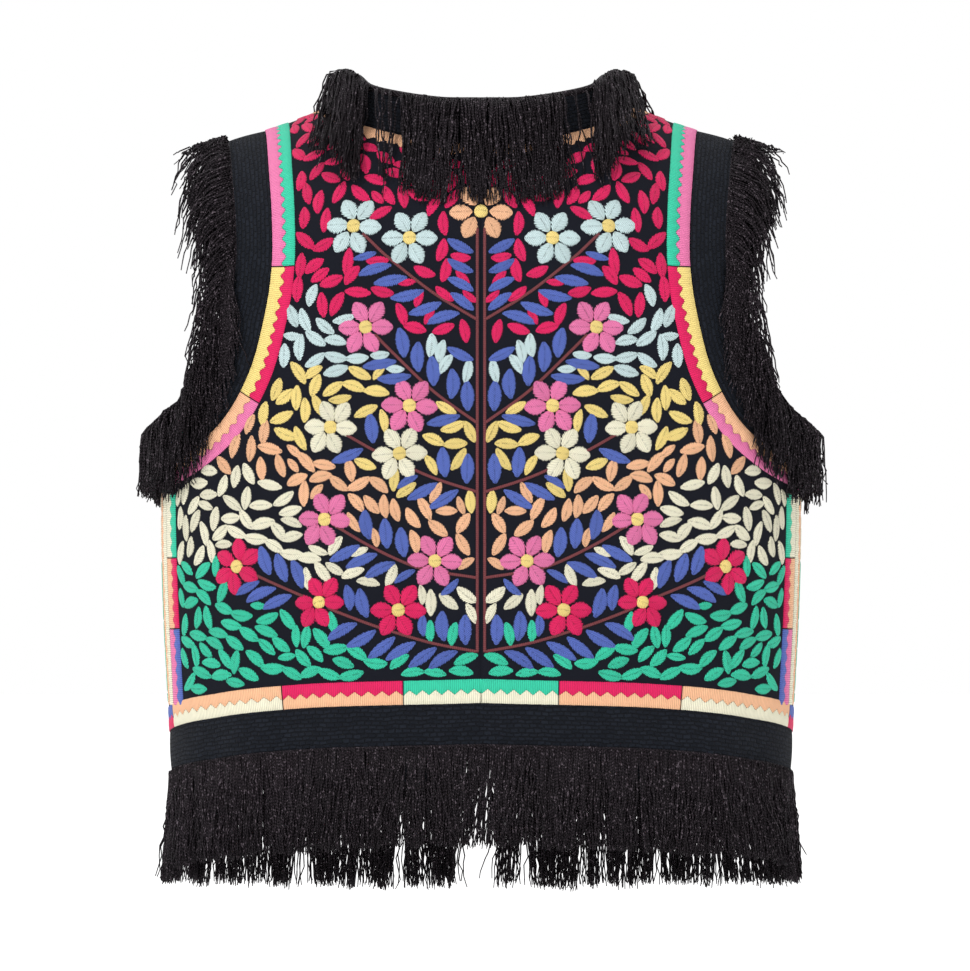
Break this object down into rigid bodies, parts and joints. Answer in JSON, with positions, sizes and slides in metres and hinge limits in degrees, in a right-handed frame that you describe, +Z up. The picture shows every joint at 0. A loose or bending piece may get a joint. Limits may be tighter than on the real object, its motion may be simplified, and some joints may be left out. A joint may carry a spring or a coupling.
{
  "type": "vest",
  "caption": "Sleeveless open-front folk vest in its worn shape, embroidered all over, with dark bands and yarn fringe at neck, armholes and hem.",
  "frame": {"origin": "between the shoulders, at the height of the shoulder line, where the wearer's shoulders carry the vest", "axes": "+Z up; +Y the way the wearer faces, so the embroidered back faces -Y; +X the wearer's right"},
  "size_m": [0.4814, 0.2367, 0.5504],
  "materials": {
    "embroidered_cloth": "blue-black cotton twill, matt, worked in satin stitch with coloured thread",
    "navy_band_cloth": "dark navy dobby cloth with a small raised waffle, matt",
    "fringe_yarn": "blackish twisted yarn with a faint sparkle, crimped where it was twisted"
  },
  "bodies": {
    "root": {"back_left": "embroidered_cloth", "back_right": "embroidered_cloth", "front_left": "embroidered_cloth", "front_right": "embroidered_cloth", "armhole_band_left": "navy_band_cloth", "armhole_band_right": "navy_band_cloth", "hem_band_back": "navy_band_cloth", "hem_band_front_left": "navy_band_cloth", "hem_band_front_right": "navy_band_cloth", "neck_stand": "navy_band_cloth", "armhole_fringe_left": "fringe_yarn", "armhole_fringe_right": "fringe_yarn", "hem_fringe_back": "fringe_yarn", "hem_fringe_front_left": "fringe_yarn", "hem_fringe_front_right": "fringe_yarn", "neck_fringe": "fringe_yarn"}
  },
  "joints": []
}
